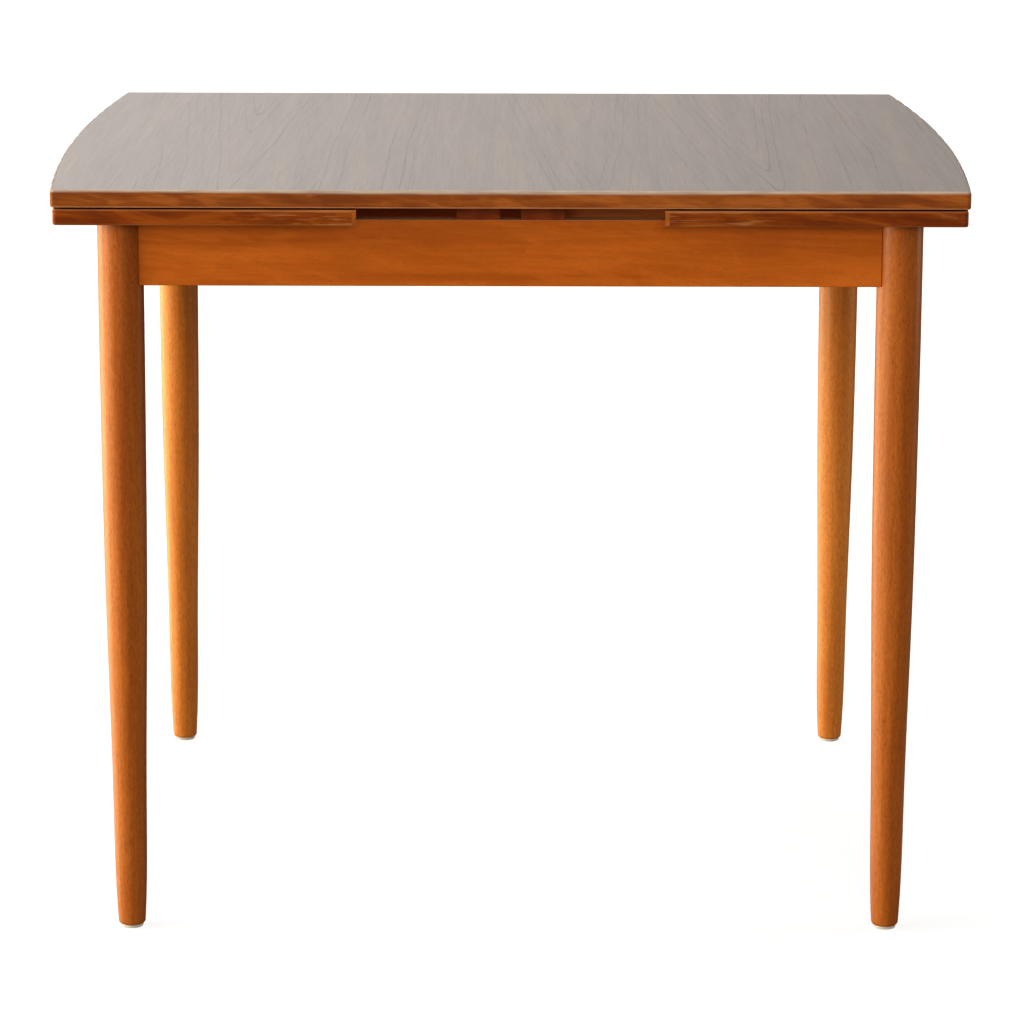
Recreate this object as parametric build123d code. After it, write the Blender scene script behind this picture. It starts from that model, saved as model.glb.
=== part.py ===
from build123d import *
import math
import os

# Draw-leaf dining table, closed, in millimetres.
# Origin: on the floor under the middle of the table. +X runs along the pull of the right leaf,
# +Y from the front apron to the back one, +Z up.

# ---- Driving dimensions -------------------------------------------------------------------
TABLE_HEIGHT = 730.0
TOP_DEPTH = 800.0            # front edge to back edge
TOP_CROWN = 443.0            # centre line to the furthest point of a bowed end
BOW = 17.0                   # how much a bowed end stands proud of its corners
TOP_THICKNESS = 17.0
LEAF_THICKNESS = 15.0
LEAF_WIDTH = 281.0           # same all along, because both ends of a leaf are bowed alike
LEAF_END_INSET = 2.0         # a stored leaf stops short of the end of the top
LEAF_SIDE_INSET = 1.0        # and short of its front and back edges
LEAF_TRAVEL = 283.5          # draws the leaf's inner edge just clear of the top's end
TOP_LIFT = 20.0              # rise the lift stops allow the loose top
STORED_GAP = 1.4             # between the top and the stored leaves, most of it felt

CORNER_RADIUS = 4.0          # in plan, top and leaves
ARRIS_RADIUS = 2.5           # rounded edge of the top's lipping
LEAF_ARRIS_RADIUS = 2.0
VENEER = 0.7
LIPPING = 10.0               # width of the solid wood round each board
INNER_LIPPING = 4.0          # on the leaf's mating edge

LEG_X, LEG_Y = 367.0, 341.0  # leg axes
LEG_RADIUS = 21.5            # round and straight where the aprons meet it
# Below the aprons the leg swells slowly down to a slim foot: height, diameter.
LEG_TAPER = [(3.0, 25.6), (128.0, 32.0), (327.0, 39.3), (500.0, 42.3)]
LEG_SHOULDER = 612.0
FOOT_ROUND = 3.2
PAD_HEIGHT, PAD_RADIUS, PAD_ROUND = 3.0, 10.8, 1.4

APRON_HEIGHT = 63.0
APRON_THICKNESS = 20.0
APRON_SETOUT = 12.5          # outer face of an apron beyond the leg axes
APRON_ROUND = 1.2
JOINT_EASE = 0.9             # hollow eased along an apron's end, where it meets the leg

BEARER_SLOT = 20.0           # gap between the two centre bearers
BEARER_WIDTH = 40.5
BEARER_SCREW_GAP = 20.0      # between the two screws at each end of a bearer
BATTEN_WIDTH = 18.0
BATTEN_LENGTH = 370.0        # stops short of the runners that cross on either side
BATTEN_SCREW_Y = (-96.0, -32.0, 32.0, 96.0)
BATTEN_WELL = 18.0           # depth of the wells its screw heads sit in
STOP_BLOCK = (56.0, 40.0, 14.0)
STOP_Y = 150.0               # lift stops either side of the middle
STOP_SCREW_GAP = 22.0
FELT = 1.0
FELT_WIDTH, FELT_LENGTH = 18.0, 640.0
FELT_X = (32.0, 205.0, 385.0)

RUNNER_WIDTH = 20.0
RUNNER_HEIGHT = 32.0
RUNNER_OUTER = 392.0         # runner's outer end, from the centre line
RUNNER_INNER = 320.0         # its inner end, beyond the centre line
LEFT_RUNNER_Y = 230.0        # the two pairs lie side by side, so they pass each other
RIGHT_RUNNER_Y = 205.0
RUNNER_SCREW_X = (370.0, 275.0, 180.0)
RUNNER_WELL = 15.0
SLIDE_CLEARANCE = 0.5
STOP_PEG_RADIUS = 4.0
STOP_PEG_DROP = 10.0         # how far a stop peg stands below its runner
STOP_PEG_GRIP = 22.0         # and how far it goes up into it
STOP_PEG_PLAY = 0.1          # left between a peg and the apron when a leaf is fully drawn

DOWEL_RADIUS, DOWEL_LENGTH = 5.0, 44.0
DOWEL_CENTRE = 26.0          # middle of a dowel, from the leg's axis
DOWEL_HEIGHTS = (14.0, 44.0)  # above the apron's lower edge
DOWEL_STAGGER = 3.0          # the end aprons' dowels sit lower, so they miss the others
BLOCK_NEAR, BLOCK_FAR = 28.0, 62.0
BLOCK_HEIGHT = 45.0
BLOCK_SCREW_DEPTH = 13.0     # thickness of block left under the screw's head
BLOCK_SCREW_OFFSET = 44.0
BLOCK_SCREW_STAGGER = 9.0    # above and below the middle of the apron
BLOCK_SCREW_WELL = 30.0

SCREW_SHANK, SCREW_HEAD, SCREW_POINT = 4.0, 8.0, 5.0
SCREW_RIM = 0.4              # straight edge of the countersunk head
SCREW_SLOT = (1.1, 1.2)      # width and depth
WELL_RADIUS = 4.6
BLOCK_SCREW_LENGTH = 28.0
BEARER_SCREW_LENGTH = 40.0
BATTEN_SCREW_LENGTH = 30.0
STOP_SCREW_LENGTH = 28.0
RUNNER_SCREW_LENGTH = 26.0

# ---- Heights and faces worked out from them ------------------------------------------------
TOP_UNDERSIDE = TABLE_HEIGHT - TOP_THICKNESS
LEAF_TOP = TOP_UNDERSIDE - STORED_GAP
LEAF_UNDERSIDE = LEAF_TOP - LEAF_THICKNESS
FRAME_TOP = LEAF_UNDERSIDE - 0.4
APRON_BOTTOM = FRAME_TOP - APRON_HEIGHT
BEARER_TOP = LEAF_TOP
HALF_DEPTH = TOP_DEPTH / 2
LEAF_HALF_DEPTH = HALF_DEPTH - LEAF_SIDE_INSET
LEAF_OUTER_CROWN = TOP_CROWN - LEAF_END_INSET
LEAF_INNER_CROWN = LEAF_OUTER_CROWN - LEAF_WIDTH
BOW_RADIUS = (HALF_DEPTH ** 2 + BOW ** 2) / (2 * BOW)
APRON_FACE_X = LEG_X + APRON_SETOUT
APRON_FACE_Y = LEG_Y + APRON_SETOUT
APRON_INNER_X = APRON_FACE_X - APRON_THICKNESS
APRON_INNER_Y = APRON_FACE_Y - APRON_THICKNESS
RUNNER_TOP = FRAME_TOP - SLIDE_CLEARANCE      # where a runner passes under the bearers
RUNNER_BOTTOM = LEAF_UNDERSIDE - RUNNER_HEIGHT
STOP_BLOCK_TOP = FRAME_TOP - TOP_LIFT - 0.3

SIDES = {"left": -1, "right": 1}
ENDS = {"front": -1, "back": 1}
nodes = {}


# ---- Small helpers -------------------------------------------------------------------------
def block(x, y, z):
    """A box between two limits along each axis."""
    size = (x[1] - x[0], y[1] - y[0], z[1] - z[0])
    middle = ((x[0] + x[1]) / 2, (y[0] + y[1]) / 2, (z[0] + z[1]) / 2)
    return Pos(*middle) * Box(*size)


def prism(points, bottom, top):
    """An upright solid over a polygon given in plan."""
    plan = make_face(Polyline(*points, close=True))
    return Pos(0, 0, bottom) * extrude(plan, amount=top - bottom, dir=(0, 0, 1))


def wood_screw(length, slotted=True):
    """Countersunk slotted wood screw: head flush at the origin, point towards -Z."""
    head, shank = SCREW_HEAD / 2, SCREW_SHANK / 2
    neck = -SCREW_RIM - (head - shank)
    outline = Polyline((0, 0), (head, 0), (head, -SCREW_RIM), (shank, neck),
                       (shank, SCREW_POINT - length), (0, -length), close=True)
    screw = revolve(make_face(Plane.XZ * outline), axis=Axis.Z)
    if slotted:
        width, depth = SCREW_SLOT
        screw -= Pos(0, 0, -depth / 2) * Box(SCREW_HEAD + 1, width, depth)
    return screw


def drilled_for(wood, places, screw_length, well=0.0):
    """Take out of the wood what its screws fill, and a well over each head if one is needed."""
    for place in places:
        wood -= place * wood_screw(screw_length, slotted=False)
        if well:
            wood -= place * Pos(0, 0, well / 2) * Cylinder(WELL_RADIUS, well)
    return wood


def group(solids):
    """Separate solids that share one node."""
    return Compound(children=[piece.solid() for piece in solids])


# ---- Veneered boards with solid wood lipping -----------------------------------------------
def bow_drop(y):
    """How far a bowed end has fallen back from its crown at distance y from the middle."""
    return BOW_RADIUS - math.sqrt(BOW_RADIUS ** 2 - y ** 2)


def panel(left, right, half_depth, right_sense):
    """Plan of a board whose ends are bowed: left and right are the crowns of the two ends."""
    drop = bow_drop(half_depth)
    left_corner, right_corner = left + drop, right + right_sense * drop
    with BuildSketch() as plan:
        with BuildLine():
            Line((left_corner, -half_depth), (right_corner, -half_depth))
            ThreePointArc((right_corner, -half_depth), (right, 0), (right_corner, half_depth))
            Line((right_corner, half_depth), (left_corner, half_depth))
            ThreePointArc((left_corner, half_depth), (left, 0), (left_corner, -half_depth))
        make_face()
    return plan.sketch


def slab(plan, bottom, top, corner_radius, outer_only):
    """A board over a plan, its corners rounded: all four, or only a leaf's outer two."""
    board = Pos(0, 0, bottom) * extrude(plan, amount=top - bottom, dir=(0, 0, 1))
    corners = board.edges().filter_by(Axis.Z)
    if outer_only:
        corners = corners.sort_by(Axis.X)[:2]
    return fillet(corners, corner_radius)


def round_arrises(board, radius, outer_only):
    """Round the long edges above and below; a leaf's mating edge stays square."""
    edges = board.edges().filter_by(lambda e: abs(e.bounding_box().size.Z) < 0.01)
    if outer_only:
        edges = edges.filter_by(lambda e: e.center().X < -LEAF_INNER_CROWN - INNER_LIPPING)
    return fillet(edges, radius)


def veneered_board(name, left, right, half_depth, bottom, thickness, arris, is_leaf):
    """Core, two veneers and lipping of the top, or of the left leaf."""
    sense = 1 if is_leaf else -1
    top = bottom + thickness
    inner_inset = INNER_LIPPING if is_leaf else LIPPING
    veneer_inset = 0 if is_leaf else arris

    whole = slab(panel(left, right, half_depth, sense), bottom, top, CORNER_RADIUS, is_leaf)
    whole = round_arrises(whole, arris, is_leaf)
    core_plan = panel(left + LIPPING, right - inner_inset, half_depth - LIPPING, sense)
    core = Pos(0, 0, bottom + VENEER) * extrude(core_plan, amount=thickness - 2 * VENEER,
                                                dir=(0, 0, 1))
    skin_plan = panel(left + arris, right - veneer_inset, half_depth - arris, sense)
    skin_corner = CORNER_RADIUS - arris
    face = slab(skin_plan, top - VENEER, top, skin_corner, is_leaf)
    back = slab(skin_plan, bottom, bottom + VENEER, skin_corner, is_leaf)
    ring = whole - core - face - back

    pieces = {"core_board": core, "face_veneer": face, "back_veneer": back}
    if is_leaf:
        # The mating edge's lipping runs right through; the front and back ones butt against it.
        cut = panel(right - INNER_LIPPING, right, half_depth, 1)
        strip = Pos(0, 0, bottom) * extrude(cut, amount=thickness, dir=(0, 0, 1))
        pieces["inner_lipping"] = ring & strip
        ring -= strip

    def mitre(end):
        """The core's left corner, and a point on the mitre well outside the board."""
        inner = Vector(left + LIPPING + bow_drop(half_depth - LIPPING),
                       ENDS[end] * (half_depth - LIPPING))
        corner = Vector(left + bow_drop(half_depth), ENDS[end] * half_depth)
        return inner, inner + 3 * (corner - inner)

    # The ring is cut up by mitres, which run from each outer corner to the corner of the core.
    past = right + 2 * BOW
    for end in ENDS:
        inner, outer = mitre(end)
        if is_leaf:
            far_side = [(past, outer.Y), (past, inner.Y)]
        else:
            far_side = [(-outer.X, outer.Y), (-inner.X, inner.Y)]
        region = prism([inner, outer] + far_side, bottom - 1, top + 1)
        pieces[end + "_lipping"] = ring & region
    region = prism([*mitre("front"), *reversed(mitre("back"))], bottom - 1, top + 1)
    pieces["outer_lipping" if is_leaf else "left_lipping"] = ring & region
    if not is_leaf:
        pieces["right_lipping"] = mirror(ring & region, about=Plane.YZ)
    return {name + "_" + key: shape for key, shape in pieces.items()}


# ---- Frame: legs, aprons, dowels, corner blocks, feet --------------------------------------
def leg():
    """Round leg with a slow taper, standing on its pad, on the Z axis."""
    foot_z, foot_d = LEG_TAPER[0]
    taper = [(d / 2, z) for z, d in LEG_TAPER] + [(LEG_RADIUS, LEG_SHOULDER)]
    outline = Spline(*taper, tangents=[(0.07, 1), (0, 1)])
    outline += Polyline((LEG_RADIUS, LEG_SHOULDER), (LEG_RADIUS, FRAME_TOP), (0, FRAME_TOP),
                        (0, foot_z), (foot_d / 2, foot_z))
    turned = revolve(make_face(Plane.XZ * outline), axis=Axis.Z)
    rims = turned.edges().filter_by(GeomType.CIRCLE).sort_by(Axis.Z)
    return fillet(rims[:1], FOOT_ROUND)


def dowel_places():
    """Two dowels at each apron end, where the apron meets the leg."""
    places = []
    apron_middle = APRON_SETOUT - APRON_THICKNESS / 2
    for sx in SIDES.values():
        for sy in ENDS.values():
            for height in DOWEL_HEIGHTS:
                z = APRON_BOTTOM + height
                along_x = (sx * (LEG_X - DOWEL_CENTRE), sy * (LEG_Y + apron_middle), z)
                along_y = (sx * (LEG_X + apron_middle), sy * (LEG_Y - DOWEL_CENTRE),
                           z - DOWEL_STAGGER)
                places.append(Pos(*along_x) * Rot(0, 90, 0))
                places.append(Pos(*along_y) * Rot(90, 0, 0))
    return places


def corner_block(sx, sy):
    """Glued block across the corner behind a leg, cut back so it clears the leg."""
    corner = (APRON_INNER_X, APRON_INNER_Y)
    plan = [(BLOCK_NEAR, 0), (BLOCK_FAR, 0), (0, BLOCK_FAR), (0, BLOCK_NEAR)]
    points = [(sx * (corner[0] - x), sy * (corner[1] - y)) for x, y in plan]
    middle = APRON_BOTTOM + APRON_HEIGHT / 2
    return prism(points, middle - BLOCK_HEIGHT / 2, middle + BLOCK_HEIGHT / 2)


def corner_screw_places(sx, sy):
    """One screw from a corner block into each of its two aprons, heads towards the middle."""
    z = APRON_BOTTOM + APRON_HEIGHT / 2
    into_front = Pos(sx * (APRON_INNER_X - BLOCK_SCREW_OFFSET),
                     sy * (APRON_INNER_Y - BLOCK_SCREW_DEPTH),
                     z - BLOCK_SCREW_STAGGER) * Rot(90 * sy, 0, 0)
    into_end = Pos(sx * (APRON_INNER_X - BLOCK_SCREW_DEPTH),
                   sy * (APRON_INNER_Y - BLOCK_SCREW_OFFSET),
                   z + BLOCK_SCREW_STAGGER) * Rot(0, -90 * sx, 0)
    return [into_front, into_end]


def runner_notches(side):
    """Openings in an end apron's top edge that its leaf's runners slide through."""
    runner_y = LEFT_RUNNER_Y if side == "left" else RIGHT_RUNNER_Y
    half = RUNNER_WIDTH / 2 + SLIDE_CLEARANCE
    face = SIDES[side] * (APRON_FACE_X - APRON_THICKNESS / 2)
    x = (face - APRON_THICKNESS, face + APRON_THICKNESS)
    z = (RUNNER_BOTTOM - SLIDE_CLEARANCE, FRAME_TOP + 1)
    return [block(x, (s * runner_y - half, s * runner_y + half), z) for s in ENDS.values()]


def joint_hollows():
    """Fine upright hollows at the lines where the aprons' outer faces meet the legs."""
    reach = math.sqrt(LEG_RADIUS ** 2 - APRON_SETOUT ** 2)
    # Turned so that the bead's seam lies off the aprons' faces.
    bead = Pos(0, 0, FRAME_TOP - APRON_HEIGHT / 2) * Rot(0, 0, 45)
    bead = bead * Cylinder(JOINT_EASE, APRON_HEIGHT + 2)
    hollows = []
    for sx in SIDES.values():
        for sy in ENDS.values():
            hollows.append(Pos(sx * (LEG_X - reach), sy * APRON_FACE_Y, 0) * bead)
            hollows.append(Pos(sx * APRON_FACE_X, sy * (LEG_Y - reach), 0) * bead)
    return hollows


LEG_PLACES = [(side, end) for end in ENDS for side in SIDES]
leg_shape = leg()
dowels = [place * chamfer(Cylinder(DOWEL_RADIUS, DOWEL_LENGTH).edges(), 1.0)
          for place in dowel_places()]
dowel_bores = [place * Cylinder(DOWEL_RADIUS, DOWEL_LENGTH) for place in dowel_places()]
leg_columns = []
for side, end in LEG_PLACES:
    # Turned so that the leg's seam faces the outer corner, away from the aprons.
    outwards = math.degrees(math.atan2(ENDS[end], SIDES[side]))
    at_leg = Pos(SIDES[side] * LEG_X, ENDS[end] * LEG_Y, 0) * Rot(0, 0, outwards)
    leg_columns.append(at_leg * Pos(0, 0, FRAME_TOP - APRON_HEIGHT / 2)
                       * Cylinder(LEG_RADIUS, APRON_HEIGHT + 20))
    nodes[end + "_" + side + "_leg"] = at_leg * leg_shape - dowel_bores
    pad = Pos(0, 0, PAD_HEIGHT / 2) * Cylinder(PAD_RADIUS, PAD_HEIGHT)
    nodes[end + "_" + side + "_foot_pad"] = at_leg * fillet(pad.edges().sort_by(Axis.Z)[:1],
                                                            PAD_ROUND)

corner_screws = []
for side, end in LEG_PLACES:
    places = corner_screw_places(SIDES[side], ENDS[end])
    corner_screws += places
    shape = corner_block(SIDES[side], ENDS[end])
    nodes[end + "_" + side + "_corner_block"] = drilled_for(shape, places, BLOCK_SCREW_LENGTH,
                                                            well=BLOCK_SCREW_WELL)


def apron(rail, grain):
    """A rail, its long edges rounded, coped round the legs, with its dowel and screw holes."""
    rail = fillet(rail.edges().filter_by(grain), APRON_ROUND)
    rail = rail - joint_hollows() - leg_columns - dowel_bores
    rail = drilled_for(rail, corner_screws, BLOCK_SCREW_LENGTH)
    return max(rail.solids(), key=lambda s: s.volume)


for end, sy in ENDS.items():
    y = sorted((sy * APRON_INNER_Y, sy * APRON_FACE_Y))
    rail = block((-LEG_X, LEG_X), y, (APRON_BOTTOM, FRAME_TOP))
    nodes[end + "_apron"] = apron(rail, Axis.X)
for side, sx in SIDES.items():
    x = sorted((sx * APRON_INNER_X, sx * APRON_FACE_X))
    rail = block(x, (-LEG_Y, LEG_Y), (APRON_BOTTOM, FRAME_TOP))
    nodes[side + "_end_apron"] = apron(rail, Axis.Y) - runner_notches(side)

nodes["apron_dowels"] = group(dowels)
nodes["corner_block_screws"] = group([p * wood_screw(BLOCK_SCREW_LENGTH) for p in corner_screws])

# ---- Centre bearers: two boards across the frame, between the stored leaves ----------------
bearer_screws = []
for side, sx in SIDES.items():
    x = sorted((sx * BEARER_SLOT / 2, sx * (BEARER_SLOT / 2 + BEARER_WIDTH)))
    bearer = block(x, (-APRON_FACE_Y, APRON_FACE_Y), (FRAME_TOP, BEARER_TOP))
    bearer = chamfer(bearer.edges().filter_by(Axis.Y), 0.6)
    places = [Pos((x[0] + x[1]) / 2 + dx, sy * (APRON_FACE_Y - APRON_THICKNESS / 2), BEARER_TOP)
              for dx in (-BEARER_SCREW_GAP / 2, BEARER_SCREW_GAP / 2) for sy in ENDS.values()]
    bearer_screws += places
    nodes[side + "_centre_bearer"] = drilled_for(bearer, places, BEARER_SCREW_LENGTH)
for end in ENDS:
    nodes[end + "_apron"] = drilled_for(nodes[end + "_apron"], bearer_screws, BEARER_SCREW_LENGTH)
nodes["centre_bearer_screws"] = group([p * wood_screw(BEARER_SCREW_LENGTH) for p in bearer_screws])

# ---- The loose top -------------------------------------------------------------------------
nodes.update(veneered_board("top", -TOP_CROWN, TOP_CROWN, HALF_DEPTH, TOP_UNDERSIDE,
                            TOP_THICKNESS, ARRIS_RADIUS, is_leaf=False))

# A batten under the top rides in the slot between the bearers and keeps the top square.
# Blocks under the batten are wider than the slot, so the top can rise but not come off.
batten = block((-BATTEN_WIDTH / 2, BATTEN_WIDTH / 2), (-BATTEN_LENGTH / 2, BATTEN_LENGTH / 2),
               (STOP_BLOCK_TOP, TOP_UNDERSIDE))
batten = chamfer(batten.edges().filter_by(Axis.X), 4.0)
batten_places = [Pos(0, y, STOP_BLOCK_TOP + BATTEN_WELL) * Rot(180, 0, 0)
                 for y in BATTEN_SCREW_Y]
batten = drilled_for(batten, batten_places, BATTEN_SCREW_LENGTH, well=BATTEN_WELL + 1)
stop_places = []
for end, sy in ENDS.items():
    length, width, height = STOP_BLOCK
    stop = Pos(0, sy * STOP_Y, STOP_BLOCK_TOP - height / 2) * Box(length, width, height)
    stop = chamfer(stop.edges().filter_by(Axis.Y), 2.0)
    places = [Pos(0, sy * STOP_Y + dy, STOP_BLOCK_TOP - height) * Rot(180, 0, 0)
              for dy in (-STOP_SCREW_GAP / 2, STOP_SCREW_GAP / 2)]
    stop_places += places
    nodes["lift_stop_" + end] = drilled_for(stop, places, STOP_SCREW_LENGTH)
nodes["guide_batten"] = drilled_for(batten, stop_places, STOP_SCREW_LENGTH)
nodes["top_core_board"] = drilled_for(nodes["top_core_board"], batten_places, BATTEN_SCREW_LENGTH)
nodes["top_back_veneer"] = drilled_for(nodes["top_back_veneer"], batten_places,
                                       BATTEN_SCREW_LENGTH)
nodes["guide_batten_screws"] = group([p * wood_screw(BATTEN_SCREW_LENGTH) for p in batten_places])
nodes["lift_stop_screws"] = group([p * wood_screw(STOP_SCREW_LENGTH) for p in stop_places])

# Felt strips glued under the top, so it never rubs the veneer of the leaves.
felt_strips = []
for sx in SIDES.values():
    for x in FELT_X:
        strip = Pos(sx * x, 0, TOP_UNDERSIDE - FELT / 2) * Box(FELT_WIDTH, FELT_LENGTH, FELT)
        felt_strips.append(strip)
nodes["top_felt_strips"] = group(felt_strips)

# ---- The two draw leaves -------------------------------------------------------------------
PEG_X = APRON_INNER_X - STOP_PEG_RADIUS - STOP_PEG_PLAY - LEAF_TRAVEL


def runner(y):
    """Left leaf's runner: full height under its leaf, eased below it so it passes the bearers."""
    shoulder = -LEAF_INNER_CROWN + 10.0
    outline = Polyline((-RUNNER_OUTER, LEAF_UNDERSIDE), (shoulder, LEAF_UNDERSIDE),
                       (shoulder, RUNNER_TOP), (RUNNER_INNER, RUNNER_TOP),
                       (RUNNER_INNER, RUNNER_BOTTOM + 14), (RUNNER_INNER - 14, RUNNER_BOTTOM),
                       (-RUNNER_OUTER + 10, RUNNER_BOTTOM), (-RUNNER_OUTER, RUNNER_BOTTOM + 12),
                       close=True)
    bar = extrude(make_face(Plane.XZ * outline), amount=RUNNER_WIDTH / 2, both=True)
    return Pos(0, y, 0) * chamfer(bar.edges().filter_by(Axis.X).sort_by(Axis.Z)[:2], 1.5)


def draw_leaf(side, runner_y):
    """Board, lipping, veneers, two runners, their screws and the stop pegs of one leaf."""
    parts = veneered_board("leaf", -LEAF_OUTER_CROWN, -LEAF_INNER_CROWN, LEAF_HALF_DEPTH,
                           LEAF_UNDERSIDE, LEAF_THICKNESS, LEAF_ARRIS_RADIUS, is_leaf=True)
    screws, pegs = [], []
    for end, sy in ENDS.items():
        y = sy * runner_y
        places = [Pos(-x, y, RUNNER_BOTTOM + RUNNER_WELL) * Rot(180, 0, 0)
                  for x in RUNNER_SCREW_X]
        screws += places
        bar = drilled_for(runner(y), places, RUNNER_SCREW_LENGTH, well=RUNNER_WELL + 1)
        low, high = RUNNER_BOTTOM - STOP_PEG_DROP, RUNNER_BOTTOM + STOP_PEG_GRIP
        peg = Pos(-PEG_X, y, (low + high) / 2) * Cylinder(STOP_PEG_RADIUS, high - low)
        parts["leaf_" + end + "_runner"] = bar - peg
        pegs.append(chamfer(peg.edges().sort_by(Axis.Z)[:1], 1.0))
    for key in ("leaf_core_board", "leaf_back_veneer"):
        parts[key] = drilled_for(parts[key], screws, RUNNER_SCREW_LENGTH)
    parts["leaf_runner_screws"] = group([p * wood_screw(RUNNER_SCREW_LENGTH) for p in screws])
    parts["leaf_stop_pegs"] = group(pegs)
    for key, shape in parts.items():
        if side == "right":
            shape = mirror(shape, about=Plane.YZ)
        nodes[side + "_" + key] = shape


draw_leaf("left", LEFT_RUNNER_Y)
draw_leaf("right", RIGHT_RUNNER_Y)

# ---- One STEP file for each node -----------------------------------------------------------
os.makedirs("parts", exist_ok=True)
for node_name, shape in nodes.items():
    solids = shape.solids()
    whole = solids[0] if len(solids) == 1 else Compound(children=list(solids))
    export_step(whole, "parts/" + node_name + ".step")
print(len(nodes), "nodes; leaf travel", LEAF_TRAVEL, "mm; top lift", TOP_LIFT, "mm")
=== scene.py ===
import math
import bpy
from mathutils import Matrix, Vector


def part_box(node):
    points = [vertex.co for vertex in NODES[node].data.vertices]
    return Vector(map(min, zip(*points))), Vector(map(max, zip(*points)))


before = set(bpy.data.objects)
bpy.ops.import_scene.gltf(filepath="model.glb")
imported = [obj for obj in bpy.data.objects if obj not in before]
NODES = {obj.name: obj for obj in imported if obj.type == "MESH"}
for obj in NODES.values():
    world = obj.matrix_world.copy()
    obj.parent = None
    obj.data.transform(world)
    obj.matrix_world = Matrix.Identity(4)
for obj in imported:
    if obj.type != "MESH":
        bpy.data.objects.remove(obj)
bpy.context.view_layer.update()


# ---- Small helpers for shader nodes --------------------------------------------------------
class Shader:
    """A node tree, with short ways to add nodes to it and link them up."""

    def __init__(self, tree):
        self.tree = tree

    def feed(self, socket, value):
        """Link a socket to another, or set its number or colour."""
        if isinstance(value, bpy.types.NodeSocket):
            self.tree.links.new(value, socket)
        elif isinstance(value, tuple) and len(value) == 3 and len(socket.default_value) == 4:
            socket.default_value = (*value, 1.0)
        else:
            socket.default_value = value

    def node(self, kind, inputs=None, **properties):
        n = self.tree.nodes.new("ShaderNode" + kind)
        for key, value in properties.items():
            setattr(n, key, value)
        for key, value in (inputs or {}).items():
            self.feed(n.inputs[key], value)
        return n

    def maths(self, operation, a, b=0.0, c=0.0):
        return self.node("Math", {0: a, 1: b, 2: c}, operation=operation).outputs[0]

    def plus(self, a, b):
        return self.maths("ADD", a, b)

    def minus(self, a, b):
        return self.maths("SUBTRACT", a, b)

    def times(self, a, b):
        return self.maths("MULTIPLY", a, b)

    def length(self, a, b):
        """The distance from the origin of a point at a, b."""
        return self.maths("SQRT", self.plus(self.times(a, a), self.times(b, b)))

    def place(self, x, y, z):
        return self.node("CombineXYZ", {0: x, 1: y, 2: z}).outputs[0]

    def stretched(self, axes, across, along):
        """Coordinates scaled so that a texture is drawn out along the grain."""
        return self.place(self.times(axes[0], across), self.times(axes[1], along),
                          self.times(axes[2], across))

    def noise(self, vector, detail=2.0, roughness=0.5, scale=1.0, distortion=0.0):
        n = self.node("TexNoise", {"Vector": vector, "Scale": scale, "Detail": detail,
                                   "Roughness": roughness, "Distortion": distortion})
        return n.outputs["Fac"]

    def chance(self, number):
        """A random number from 0 to 1 for each whole number."""
        return self.node("TexWhiteNoise", {"W": number}, noise_dimensions="1D").outputs["Value"]

    def ramp(self, fac, stops):
        """A colour ramp; each stop is a place and a colour or a grey level."""
        n = self.node("ValToRGB", {"Fac": fac})
        band = n.color_ramp
        while len(band.elements) < len(stops):
            band.elements.new(0.5)
        for element, (place, colour) in zip(band.elements, stops):
            element.position = place
            rgb = colour if isinstance(colour, tuple) else (colour,) * 3
            element.color = (*rgb, 1.0)
        return n.outputs["Color"]

    def range(self, value, low, high, to_low=0.0, to_high=1.0, smooth=False):
        kind = "SMOOTHSTEP" if smooth else "LINEAR"
        n = self.node("MapRange", {0: value, 1: low, 2: high, 3: to_low, 4: to_high},
                      interpolation_type=kind)
        return n.outputs[0]

    def mix(self, fac, a, b, blend="MIX"):
        n = self.node("Mix", data_type="RGBA", blend_type=blend)
        for socket, value in ((n.inputs[0], fac), (n.inputs[6], a), (n.inputs[7], b)):
            self.feed(socket, value)
        return n.outputs[2]

    def object_place(self):
        return self.node("TexCoord").outputs["Object"]

    def axes(self, grain):
        """Object coordinates as across the grain, along it, and through the piece."""
        x, y, z = self.node("SeparateXYZ", {0: self.object_place()}).outputs
        return {"X": (y, x, z), "Y": (x, y, z), "Z": (x, z, y)}[grain]


class Finish(Shader):
    """A material with one Principled surface."""

    def __init__(self, name):
        self.material = bpy.data.materials.new(name)
        self.material.use_nodes = True
        super().__init__(self.material.node_tree)
        self.surface = next(n for n in self.tree.nodes if n.type == "BSDF_PRINCIPLED")

    def done(self, colour, roughness, height=None, bump=0.0, depth=0.0002, **uniform):
        self.feed(self.surface.inputs["Base Color"], colour)
        self.feed(self.surface.inputs["Roughness"], roughness)
        for key, value in uniform.items():
            self.surface.inputs[key.replace("_", " ")].default_value = value
        if height is not None:
            n = self.node("Bump", {"Strength": bump, "Distance": depth, "Height": height})
            self.tree.links.new(n.outputs[0], self.surface.inputs["Normal"])
        return self.material


# ---- Veneer --------------------------------------------------------------------------------
SHEET_WIDTH, SHEET_CENTRE = 0.170, -0.265      # veneer leaves, laid side by side across the top
ARCHED_SHEETS = (0.0, 2.0, 3.0)                # leaves with arches; the one at SHEET_CENTRE is 0
ARCH_TAPER, ARCH_NOSE = 0.055, 0.006           # how fast the arches open, and their blunt tips
RING = 0.0085                                  # from one dark line to the next
VENEER_LIGHT = (0.252, 0.168, 0.108)
VENEER_MIDDLE = (0.214, 0.139, 0.087)
VENEER_DARK = (0.178, 0.112, 0.068)
FINE_STREAK = (0.125, 0.074, 0.042)
LATE_WOOD = (0.055, 0.032, 0.020)
PORE_SHADE = (0.050, 0.028, 0.016)


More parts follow.
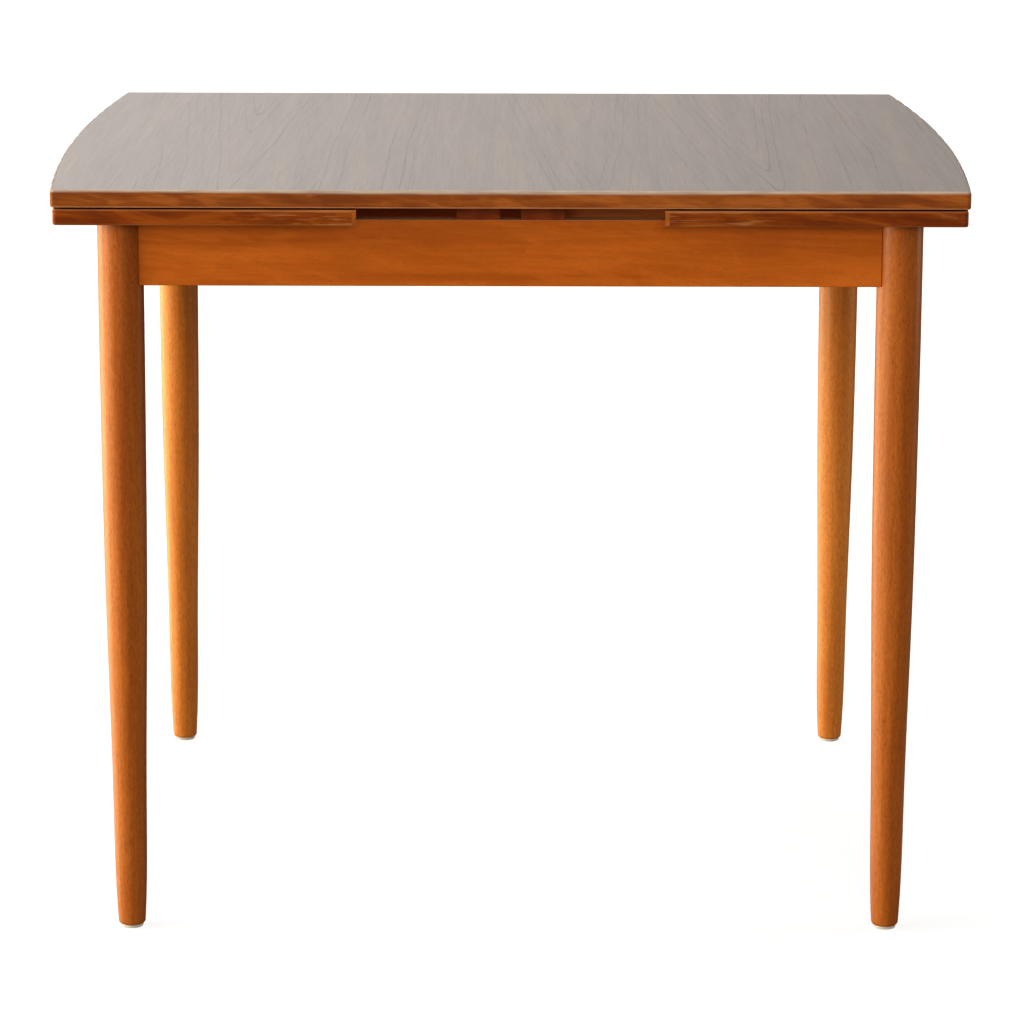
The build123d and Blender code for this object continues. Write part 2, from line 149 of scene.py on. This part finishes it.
def teak_veneer(name):
    """Sliced veneer in leaves: three with nested arches that point forwards, the rest plain."""
    s = Finish(name)
    axes = s.axes("Y")
    across, along, _ = axes
    sheet = s.maths("ROUND", s.maths("DIVIDE", s.minus(across, SHEET_CENTRE), SHEET_WIDTH))
    centre = s.maths("MULTIPLY_ADD", sheet, SHEET_WIDTH, SHEET_CENTRE)
    seed = s.times(sheet, 3.7)
    first, second, third = [s.minus(sheet, number) for number in ARCHED_SHEETS]
    plain = s.maths("MINIMUM", s.maths("ABSOLUTE", s.times(s.times(first, second), third)), 1.0)

    # Where a point lies in its leaf's nest of arches. A plain leaf is cut far from the arches.
    sway = s.noise(s.place(s.times(across, 2.0), s.times(along, 1.3), seed), 2.0)
    local = s.maths("MULTIPLY_ADD", plain, 0.2, s.minus(across, centre))
    local = s.maths("MULTIPLY_ADD", s.minus(sway, 0.5), 0.035, local)
    waver = s.noise(s.place(s.times(across, 18.0), s.times(along, 1.8), seed), 3.0)
    spread = s.maths("SQRT", s.plus(s.times(local, local), ARCH_NOSE ** 2))
    rise = s.times(along, s.range(plain, 0.0, 1.0, ARCH_TAPER, 0.2 * ARCH_TAPER))
    reach = s.plus(s.minus(spread, rise), s.times(s.chance(seed), 0.05))
    reach = s.maths("MULTIPLY_ADD", s.minus(waver, 0.5), 0.006, reach)

    # Dark lines of late wood, of uneven strength, which break up along their length.
    count = s.maths("DIVIDE", reach, RING)
    year = s.maths("FLOOR", count)
    ring = s.maths("FRACT", count)
    strong = s.maths("POWER", s.chance(s.plus(year, seed)), 2.6)
    late = s.ramp(ring, [(0.0, 0.5), (0.04, 0.0), (0.80, 0.0), (0.95, 1.0), (1.0, 0.5)])
    patches = s.noise(s.place(s.times(across, 14.0), s.times(along, 5.0), seed), 2.0)
    fade = s.range(patches, 0.35, 0.65, 0.35, 1.0)
    dashes = s.range(s.noise(s.stretched(axes, 260.0, 42.0), 2.0), 0.40, 0.58, 0.45, 1.0)
    line = s.times(s.times(late, strong), s.times(fade, dashes))

    # Streaks, open pores and a few dark pin marks.
    streak = s.noise(s.stretched(axes, 55.0, 2.2), 4.0, 0.6)
    fine = s.noise(s.stretched(axes, 520.0, 11.0), 3.0, 0.65)
    pores = s.noise(s.stretched(axes, 1500.0, 60.0), 2.0)
    pore = s.range(pores, 0.57, 0.72, smooth=True)
    pore = s.times(pore, s.range(s.plus(line, s.times(fine, 0.6)), 0.2, 0.9, 0.3, 1.0))
    cells = s.node("TexVoronoi", {"Vector": s.stretched(axes, 8.0, 2.6), "Scale": 1.0})
    pin = s.range(cells.outputs["Distance"], 0.012, 0.030, 1.0, 0.0, smooth=True)

    base = s.ramp(streak, [(0.30, VENEER_DARK), (0.5, VENEER_MIDDLE), (0.70, VENEER_LIGHT)])
    base = s.mix(s.range(fine, 0.35, 0.72, 0.0, 0.28), base, FINE_STREAK)
    base = s.mix(line, base, LATE_WOOD)
    base = s.mix(s.times(s.maths("MAXIMUM", pore, pin), 0.6), base, PORE_SHADE)
    broken = s.plus(s.times(line, 0.5), s.plus(s.times(fine, 0.6), s.times(pore, 0.4)))
    rough = s.range(broken, 0.15, 0.95, 0.34, 0.52)
    height = s.minus(s.times(fine, 0.35), s.plus(pore, s.times(line, 0.6)))
    return s.done(base, rough, height, 0.12, Coat_Weight=0.78, Coat_Roughness=0.32)


# ---- Solid wood ----------------------------------------------------------------------------
THIN_FINISH = (0.62, 0.38, 0.20)               # patches that handling has worn pale
# Painted reflection with some wear: the lower arris painted pale where it catches light from below.
LOWER_ARRIS_SHEEN_AND_WEAR = (0.72, 0.39, 0.21)
SCUFF = (0.62, 0.34, 0.14)
# Painted light on the inner ends of the runners.
INNER_END_LIT_PALE, INNER_END_LIT_DEEP = (0.95, 0.50, 0.17), (0.72, 0.30, 0.09)
# Unstained beech, lightened further as painted light for the apron's top face.
UNSTAINED_AND_LIT = (0.95, 0.61, 0.33)


class Wood(Finish):
    """Planed timber, laid on in layers: its colour in self.base, its relief in self.height."""

    def __init__(self, name, grain, light, middle, dark):
        super().__init__(name)
        self.light, self.dark = light, dark
        self.shade = tuple(c * 0.5 for c in dark)
        self.lie = self.axes(grain)
        self.across, self.along, self.through = self.lie
        streak = self.noise(self.stretched(self.lie, 60.0, 2.6), 4.0, 0.6)
        self.fine = self.noise(self.stretched(self.lie, 600.0, 16.0), 3.0, 0.65)
        self.base = self.ramp(streak, [(0.27, dark), (0.5, middle), (0.74, light)])
        self.height = self.times(self.fine, 0.3)

    def lay(self, fac, colour):
        """Lay a colour over what is there already."""
        self.base = self.mix(fac, self.base, colour)

    def rings(self, spacing, depth, pith, taper, flame):
        """Growth rings about a pith that lies outside the piece and isn't quite parallel to it."""
        low = self.noise(self.stretched(self.lie, 7.0, 2.6), 3.0)
        bend = self.times(self.minus(low, 0.5), flame)
        side = self.plus(self.minus(self.across, pith[0]), bend)
        deep = self.maths("MULTIPLY_ADD", self.along, taper, self.minus(self.through, pith[1]))
        count = self.maths("DIVIDE", self.length(side, deep), spacing)
        strong = self.range(self.chance(self.maths("FLOOR", count)), 0.0, 1.0, 0.25, 1.0)
        late = self.ramp(self.maths("FRACT", count),
                         [(0.0, 0.6), (0.10, 0.05), (0.5, 0.0), (0.93, 1.0), (1.0, 0.6)])
        self.lay(self.times(self.times(late, strong), depth), self.dark)

    def fine_streaks(self, amount):
        self.lay(self.range(self.fine, 0.35, 0.75, 0.0, amount), self.dark)

    def flames(self, amount):
        """Light and dark tongues that lie aslant, from grain that rises and dips."""
        lean = self.times(self.along, 9.0)
        slant = self.place(self.plus(self.times(self.across, 60.0), lean),
                           self.times(self.along, 11.0),
                           self.plus(self.times(self.through, 60.0), lean))
        tongue = self.noise(slant, 3.0, 0.55, distortion=0.9)
        self.lay(self.range(tongue, 0.50, 0.64, 0.0, amount, smooth=True), self.light)
        self.lay(self.range(tongue, 0.48, 0.36, 0.0, amount, smooth=True), self.dark)

    def open_pores(self, amount):
        """Short dark grooves, as in teak."""
        grainy = self.noise(self.stretched(self.lie, 1500.0, 60.0), 2.0)
        pore = self.range(grainy, 0.56, 0.72, smooth=True)
        self.lay(self.times(pore, amount), self.shade)
        self.height = self.minus(self.height, pore)

    def ray_flecks(self, amount):
        """A mottle with small dark flecks, as in beech."""
        mottle = self.noise(self.stretched(self.lie, 420.0, 110.0), 4.0, 0.75)
        self.lay(self.range(mottle, 0.42, 0.68, 0.0, 0.7 * amount), self.dark)
        self.lay(self.range(mottle, 0.50, 0.30, 0.0, 0.5 * amount), self.light)
        speck = self.noise(self.stretched(self.lie, 1000.0, 230.0), 2.0)
        fleck = self.range(speck, 0.55, 0.68, smooth=True)
        self.lay(self.times(fleck, 0.6 * amount), self.shade)
        self.height = self.minus(self.height, self.times(fleck, 0.5))

    def worn_patches(self, amount):
        patch = self.noise(self.stretched(self.lie, 90.0, 14.0), 4.0, 0.65)
        self.lay(self.range(patch, 0.62, 0.74, 0.0, amount, smooth=True), THIN_FINISH)

    def arris_sheen_and_wear(self, low, high, reach, upper, lower, colour):
        """Pale bands along the arrises, the upper one most at its middle: a painted highlight where
        the rounded edges catch the light, with some wear.
        """
        lifted = self.range(self.maths("ABSOLUTE", self.along), 0.12, 0.34, 0.0012, 0.0)
        above = self.range(self.plus(self.through, lifted), high - reach, high - 0.15 * reach,
                           0.0, upper, smooth=True)
        below = self.range(self.through, low + 0.0020, low + 0.0008, 0.0, lower, smooth=True)
        tint_mask = self.range(self.noise(self.stretched(self.lie, 300.0, 25.0), 3.0), 0.3, 0.6, 0.65, 1.0)
        self.lay(self.times(above, tint_mask), colour)
        self.lay(self.times(below, tint_mask), LOWER_ARRIS_SHEEN_AND_WEAR)

    def scuffs(self, start, end):
        """Pale rubs near the end that the hand takes hold of, fading away along the piece."""
        near = self.range(self.maths("ABSOLUTE", self.along), start, end, 1.0, 0.0)
        rubs = self.noise(self.stretched(self.lie, 420.0, 22.0), 4.0, 0.6)
        rubs = self.range(self.maths("MULTIPLY_ADD", near, 0.08, rubs), 0.58, 0.72, 0.0, 0.45,
                          smooth=True)
        self.lay(self.times(rubs, self.range(near, 0.0, 0.4)), SCUFF)

    def paint_light_at_inner_end(self, start, end):
        """Painted light: lighter towards the inner end, where light reaches the runner through the
        slot.
        """
        tint_mask = self.range(self.along, start, end, 0.0, 0.95, smooth=True)
        self.lay(tint_mask, self.mix(self.fine, INNER_END_LIT_PALE, INNER_END_LIT_DEEP))

    def bare_lit_edge(self, start):
        """The hidden upper edge never met the stain, and is painted paler still as painted light on
        its upward face.
        """
        self.lay(self.range(self.through, start, start + 0.0003, 0.0, 0.85), UNSTAINED_AND_LIT)


def solid_wood(name, grain, light, middle, dark, ring=0.004, ring_depth=0.4, pith=(0.09, 0.16),
               taper=0.03, flame=0.04, streaks=0.4, figure=0.0, pores=0.5, flecks=0.0, worn=0.0,
               arrises=None, scuffed=None, lit_inner_end=None, bare_lit_above=None, rough=(0.38, 0.5),
               gloss=0.5, coat=0.0):
    """One timber, in the order it came about: growth, then figure and pores, then wear and painted
    light.
    """
    s = Wood(name, grain, light, middle, dark)
    s.rings(ring, ring_depth, pith, taper, flame)
    s.fine_streaks(streaks)
    for amount, layer in ((figure, s.flames), (pores, s.open_pores), (flecks, s.ray_flecks),
                          (worn, s.worn_patches)):
        if amount:
            layer(amount)
    if arrises:
        s.arris_sheen_and_wear(**arrises)
    if scuffed:
        s.scuffs(*scuffed)
    if lit_inner_end:
        s.paint_light_at_inner_end(*lit_inner_end)
    if bare_lit_above:
        s.bare_lit_edge(bare_lit_above)
    return s.done(s.base, s.range(s.fine, 0.3, 0.75, *rough), s.height, 0.12, Coat_Weight=coat,
                  Coat_Roughness=0.3, Specular_IOR_Level=gloss)


# ---- Board, felt and steel -----------------------------------------------------------------
def chipboard(name):
    """Pressed chips, bare: pale and dark flakes with open gaps."""
    s = Finish(name)
    place = s.object_place()
    chip = s.node("TexVoronoi", {"Vector": place, "Scale": 420.0, "Randomness": 1.0})
    tone = s.node("SeparateColor", {0: chip.outputs["Color"]}).outputs[0]
    base = s.ramp(tone, [(0.0, (0.30, 0.19, 0.10)), (0.5, (0.52, 0.38, 0.23)),
                         (1.0, (0.66, 0.52, 0.35))])
    grit = s.noise(place, 3.0, scale=1400.0)
    base = s.mix(s.range(grit, 0.55, 0.75, 0.0, 0.5), base, (0.18, 0.11, 0.06))
    return s.done(base, s.range(grit, 0.3, 0.7, 0.75, 0.95), chip.outputs["Distance"], 0.3, 0.0006)


def felt(name, colour, dark):
    """Pressed felt: matted fibres with a soft, dull face."""
    s = Finish(name)
    place = s.object_place()
    fibre = s.noise(place, 4.0, 0.7, scale=1900.0, distortion=1.4)
    clump = s.noise(place, 3.0, scale=260.0)
    base = s.mix(s.range(fibre, 0.35, 0.7, 0.0, 0.8), colour, dark)
    base = s.mix(s.range(clump, 0.4, 0.7, 0.0, 0.3), base, dark)
    return s.done(base, s.range(clump, 0.3, 0.7, 0.88, 1.0), fibre, 0.5, 0.0004, Sheen_Weight=0.4)


def screw_steel(name):
    """Dull steel, turned: fine scratches and a little grime."""
    s = Finish(name)
    place = s.object_place()
    scratch = s.noise(place, 3.0, 0.6, scale=2600.0)
    grime = s.noise(place, scale=500.0)
    base = s.mix(s.range(grime, 0.45, 0.7, 0.0, 0.6), (0.52, 0.50, 0.47), (0.26, 0.22, 0.18))
    return s.done(base, s.range(scratch, 0.3, 0.7, 0.28, 0.5), scratch, 0.2, Metallic=1.0)


# ---- The timbers ---------------------------------------------------------------------------
TOP_LOW, TOP_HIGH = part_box("top_front_lipping")
LEAF_LOW, LEAF_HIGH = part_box("left_leaf_front_lipping")
APRON_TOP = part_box("front_apron")[1][2]
# Each arris colour is a painted highlight along the rounded edges, with some wear.
TOP_ARRISES = dict(low=TOP_LOW[2], high=TOP_HIGH[2], reach=0.0036, upper=0.9, lower=1.0,
                   colour=(0.64, 0.54, 0.44))
END_ARRISES = dict(TOP_ARRISES, reach=0.0040, upper=1.0, lower=0.3, colour=(0.44, 0.36, 0.29))
LEAF_ARRISES = dict(low=LEAF_LOW[2], high=LEAF_HIGH[2], reach=0.0020, upper=0.6, lower=0.25,
                    colour=(0.74, 0.36, 0.16))

TEAK = dict(light=(0.56, 0.205, 0.036), middle=(0.39, 0.122, 0.014), dark=(0.24, 0.062, 0.006),
            ring=0.0034, ring_depth=0.3, figure=0.5, pores=0.3, streaks=0.4, worn=0.35, gloss=0.2,
            rough=(0.42, 0.54), coat=0.15, arrises=TOP_ARRISES)
# Painted shade: a darker copy of the top's teak for the ends of the top.
SHADED_END_TEAK = dict(TEAK, light=(0.40, 0.150, 0.036), middle=(0.29, 0.098, 0.018),
                dark=(0.18, 0.052, 0.008), arrises=END_ARRISES)
LEAF_TEAK = dict(TEAK, light=(0.47, 0.148, 0.012), middle=(0.34, 0.088, 0.004),
                 dark=(0.20, 0.042, 0.002), gloss=0.15, coat=0.0, arrises=LEAF_ARRISES)
SCUFFED_TEAK = dict(LEAF_TEAK, scuffed=(0.160, 0.260))
MATING_TEAK = dict(LEAF_TEAK, light=(0.60, 0.23, 0.05), middle=(0.48, 0.165, 0.03),
                   dark=(0.32, 0.10, 0.014))
BEECH_LEG = dict(light=(0.62, 0.228, 0.034), middle=(0.51, 0.168, 0.018), dark=(0.37, 0.104, 0.008),
                 ring=0.0055, ring_depth=0.25, flecks=0.55, pores=0.0, streaks=0.25, gloss=0.2,
                 coat=0.4, rough=(0.40, 0.52))
# Painted light: a lighter copy of the leg beech for the back legs, which stand brighter in the light.
LIT_BACK_LEG = dict(BEECH_LEG, light=(0.79, 0.340, 0.072), middle=(0.68, 0.270, 0.045),
                dark=(0.51, 0.172, 0.020))
BEECH_APRON = dict(light=(0.70, 0.238, 0.035), middle=(0.61, 0.196, 0.024), dark=(0.49, 0.140, 0.014),
                   ring=0.009, ring_depth=0.25, flame=0.09, taper=0.10, figure=0.3, flecks=0.22,
                   pores=0.0, streaks=0.1, gloss=0.1, rough=(0.42, 0.52),
                   bare_lit_above=APRON_TOP - 0.0006)
# Stained dark, and darker still as painted shade for the boards in the dim slot under the top.
STAINED_AND_SHADED = dict(light=(0.40, 0.108, 0.020), middle=(0.30, 0.072, 0.011), dark=(0.20, 0.040, 0.005),
               ring=0.004, ring_depth=0.35, pores=0.3, streaks=0.4, gloss=0.2, rough=(0.5, 0.62))
# Painted light: a lighter copy of the stained boards for the runners, which show in the slot.
RUNNER_LIT = dict(STAINED_AND_SHADED, light=(0.58, 0.172, 0.034), middle=(0.45, 0.114, 0.018),
              dark=(0.31, 0.066, 0.008))
LEFT_RUNNER = dict(RUNNER_LIT, lit_inner_end=(0.045, 0.075))
RIGHT_RUNNER = dict(RUNNER_LIT, lit_inner_end=(-0.045, -0.075))
BARE = dict(light=(0.62, 0.42, 0.25), middle=(0.54, 0.34, 0.19), dark=(0.42, 0.24, 0.12),
            ring=0.0045, ring_depth=0.3, flecks=0.4, pores=0.0, streaks=0.3, gloss=0.3,
            rough=(0.6, 0.75))
BACKING = dict(light=(0.50, 0.34, 0.20), middle=(0.43, 0.27, 0.15), dark=(0.32, 0.19, 0.10),
               ring=0.007, ring_depth=0.4, pores=0.4, streaks=0.4, gloss=0.3, rough=(0.6, 0.75))


def timber(kind, finish, grain):
    """One material for each kind of timber and direction of grain, made once."""
    name = kind + "_" + grain.lower()
    return bpy.data.materials.get(name) or solid_wood(name, grain, **finish)


def lipping(name):
    """Solid edging: paler where a leaf mates with the top, and darker across the ends of the top as
    painted shade.
    """
    grain = "X" if "front_lipping" in name or "back_lipping" in name else "Y"
    if "inner" in name:
        return timber("mating_lipping", MATING_TEAK, grain)
    if "leaf" in name:
        return timber("leaf_lipping", SCUFFED_TEAK if grain == "X" else LEAF_TEAK, grain)
    if grain == "Y":
        return timber("top_end_lipping_shaded", SHADED_END_TEAK, grain)
    return timber("top_lipping", TEAK, grain)


def dress():
    """Give every CAD node its material by what the piece is."""
    veneer = teak_veneer("teak_veneer")
    core = chipboard("chipboard")
    steel = screw_steel("screw_steel")
    red_felt = felt("strip_felt", (0.190, 0.030, 0.020), (0.080, 0.012, 0.008))
    pale_felt = felt("foot_felt", (0.80, 0.74, 0.62), (0.52, 0.46, 0.37))
    for name, node in NODES.items():
        if name.endswith("face_veneer"):
            material = veneer
        elif name.endswith("back_veneer"):
            material = timber("backing_veneer", BACKING, "Y")
        elif name.endswith("core_board"):
            material = core
        elif name.endswith("lipping"):
            material = lipping(name)
        # The back legs take the beech painted lighter.
        elif name.endswith("_leg") and name.startswith("back"):
            material = timber("beech_back_legs_lit", LIT_BACK_LEG, "Z")
        elif name.endswith("_leg"):
            material = timber("beech_legs", BEECH_LEG, "Z")
        elif name.endswith("end_apron"):
            material = timber("beech_aprons", BEECH_APRON, "Y")
        elif name.endswith("apron"):
            material = timber("beech_aprons", BEECH_APRON, "X")
        elif name.endswith("centre_bearer") or name == "guide_batten":
            material = timber("inner_boards", STAINED_AND_SHADED, "Y")
        elif name.endswith("runner") and name.startswith("right"):
            material = timber("right_runners", RIGHT_RUNNER, "X")
        elif name.endswith("runner"):
            material = timber("left_runners", LEFT_RUNNER, "X")
        elif name.endswith("screws"):
            material = steel
        elif name == "top_felt_strips":
            material = red_felt
        elif name.endswith("foot_pad"):
            material = pale_felt
        elif name.endswith("corner_block") or name.endswith("stop_pegs"):
            material = timber("raw_beech", BARE, "Z")
        else:
            material = timber("raw_beech", BARE, "X")
        node.data.materials.clear()
        node.data.materials.append(material)


# ---- Stage: floor, light, camera -----------------------------------------------------------
FLOOR_HALF = 4.0
FLOOR_DROP = 0.0002                            # a hair below the pads, so that the two don't fight
FADE_START, FADE_END = 0.7, 2.4                # how far out the floor begins and ends its fade

LENS_MM, SENSOR_MM = 142.88, 36.0
EYE = (-0.0103, -4.1311, 1.2419)
PITCH, YAW, ROLL = 12.330, 0.190, 0.172        # degrees
FAR_CLIP = 200.0


def floor():
    """A pale floor round the table, which fades out into the white."""
    mesh = bpy.data.meshes.new("floor")
    corners = [(-FLOOR_HALF, -FLOOR_HALF, 0), (FLOOR_HALF, -FLOOR_HALF, 0),
               (FLOOR_HALF, FLOOR_HALF, 0), (-FLOOR_HALF, FLOOR_HALF, 0)]
    mesh.from_pydata(corners, [], [(0, 1, 2, 3)])
    plane = bpy.data.objects.new("floor", mesh)
    plane.location.z = -FLOOR_DROP
    bpy.context.scene.collection.objects.link(plane)
    s = Finish("floor_paper")
    x, y, _ = s.node("SeparateXYZ", {0: s.object_place()}).outputs
    faded = s.range(s.length(x, y), FADE_START, FADE_END, 0.25, 0.0, smooth=True)
    s.feed(s.surface.inputs["Alpha"], faded)
    mesh.materials.append(s.done((0.90, 0.90, 0.90), 0.9, Specular_IOR_Level=0.0))


def area_light(name, place, aim, size, power):
    light = bpy.data.lights.new(name, "AREA")
    light.shape = "RECTANGLE"
    light.size, light.size_y = size
    light.energy = power
    lamp = bpy.data.objects.new(name, light)
    lamp.location = place
    towards = Vector(aim) - Vector(place)
    lamp.rotation_euler = towards.to_track_quat("-Z", "Y").to_euler()
    lamp.visible_camera = False
    bpy.context.scene.collection.objects.link(lamp)


def surroundings():
    """White to the camera; as light, a bright backdrop and a room dim low down in front."""
    world = bpy.data.worlds.new("studio")
    bpy.context.scene.world = world
    world.use_nodes = True
    s = Shader(world.node_tree)
    s.tree.nodes.clear()
    x, y, z = s.node("SeparateXYZ", {0: s.node("TexCoord").outputs["Generated"]}).outputs
    side = s.range(x, -1.0, 1.0, 0.68, 0.48)
    height = s.range(z, -1.0, 1.0)
    front = s.ramp(height, [(0.22, 0.16), (0.30, 0.26), (0.47, 0.26), (0.50, 1.0), (0.72, 1.0),
                            (0.88, 0.35)])
    front = s.times(front, 1.02)
    behind = s.range(y, 0.1, 0.9, smooth=True)
    tall = s.ramp(height, [(0.30, 0.12), (0.50, 0.35), (0.55, 1.0), (0.66, 1.0), (0.80, 0.25)])
    backdrop = s.times(s.range(x, -0.3, 0.3, 2.50, 0.78), tall)
    strength = s.times(side, s.plus(front, s.times(behind, s.minus(backdrop, front))))
    # A low strip of brightness down the left, which the varnish picks up along every leg.
    low = s.ramp(height, [(0.32, 0.0), (0.36, 1.0), (0.44, 1.0), (0.48, 0.0)])
    left = s.times(s.range(x, 0.0, -0.45, smooth=True), s.range(y, -1.0, -0.35))
    left = s.times(left, s.range(y, 0.5, 0.9, 1.0, 0.0))
    strip = s.mix(s.times(low, left), (0.0, 0.0, 0.0), (6.4, 6.0, 4.6))
    glow = s.mix(1.0, s.place(strength, strength, strength), strip, "ADD")
    lit = s.node("Background", {"Color": glow})
    seen = s.node("Background", {"Color": (1.0, 1.0, 1.0)})
    path = s.node("LightPath").outputs["Is Camera Ray"]
    both = s.node("MixShader", {0: path, 1: lit.outputs[0], 2: seen.outputs[0]})
    s.node("OutputWorld", {0: both.outputs[0]})


def camera():
    """A long lens from the front, looking down about 12 degrees, with a trace of yaw and roll."""
    data = bpy.data.cameras.new("camera")
    data.lens, data.sensor_width = LENS_MM, SENSOR_MM
    data.clip_end = FAR_CLIP
    cam = bpy.data.objects.new("camera", data)
    pitch, yaw, roll = [math.radians(angle) for angle in (PITCH, YAW, ROLL)]
    forward = Vector((math.sin(yaw) * math.cos(pitch), math.cos(yaw) * math.cos(pitch),
                      -math.sin(pitch)))
    level = Vector((math.cos(yaw), -math.sin(yaw), 0.0))
    upward = level.cross(forward)
    right = math.cos(roll) * level + math.sin(roll) * upward
    top = math.cos(roll) * upward - math.sin(roll) * level
    turn = Matrix((right, top, -forward)).transposed().to_4x4()
    cam.matrix_world = Matrix.Translation(EYE) @ turn
    bpy.context.scene.collection.objects.link(cam)
    bpy.context.scene.camera = cam


view = bpy.context.scene.view_settings
view.view_transform = "Standard"
view.gamma, view.exposure = 0.72, 0.2          # a print with some contrast
dress()
floor()
surroundings()
camera()
area_light("window", (-3.2, -0.90, 1.20), (0.0, 0.0, 0.5), (2.4, 1.4), 66.0)
area_light("fill", (3.4, 0.50, 0.90), (0.0, 0.0, 0.5), (2.0, 1.4), 24.0)
area_light("front", (0.3, -9.0, 2.75), (0.0, 0.0, 0.6), (2.6, 1.2), 165.0)
area_light("overhead", (-0.4, 0.6, 3.4), (0.0, 0.0, 0.0), (2.0, 2.0), 40.0)
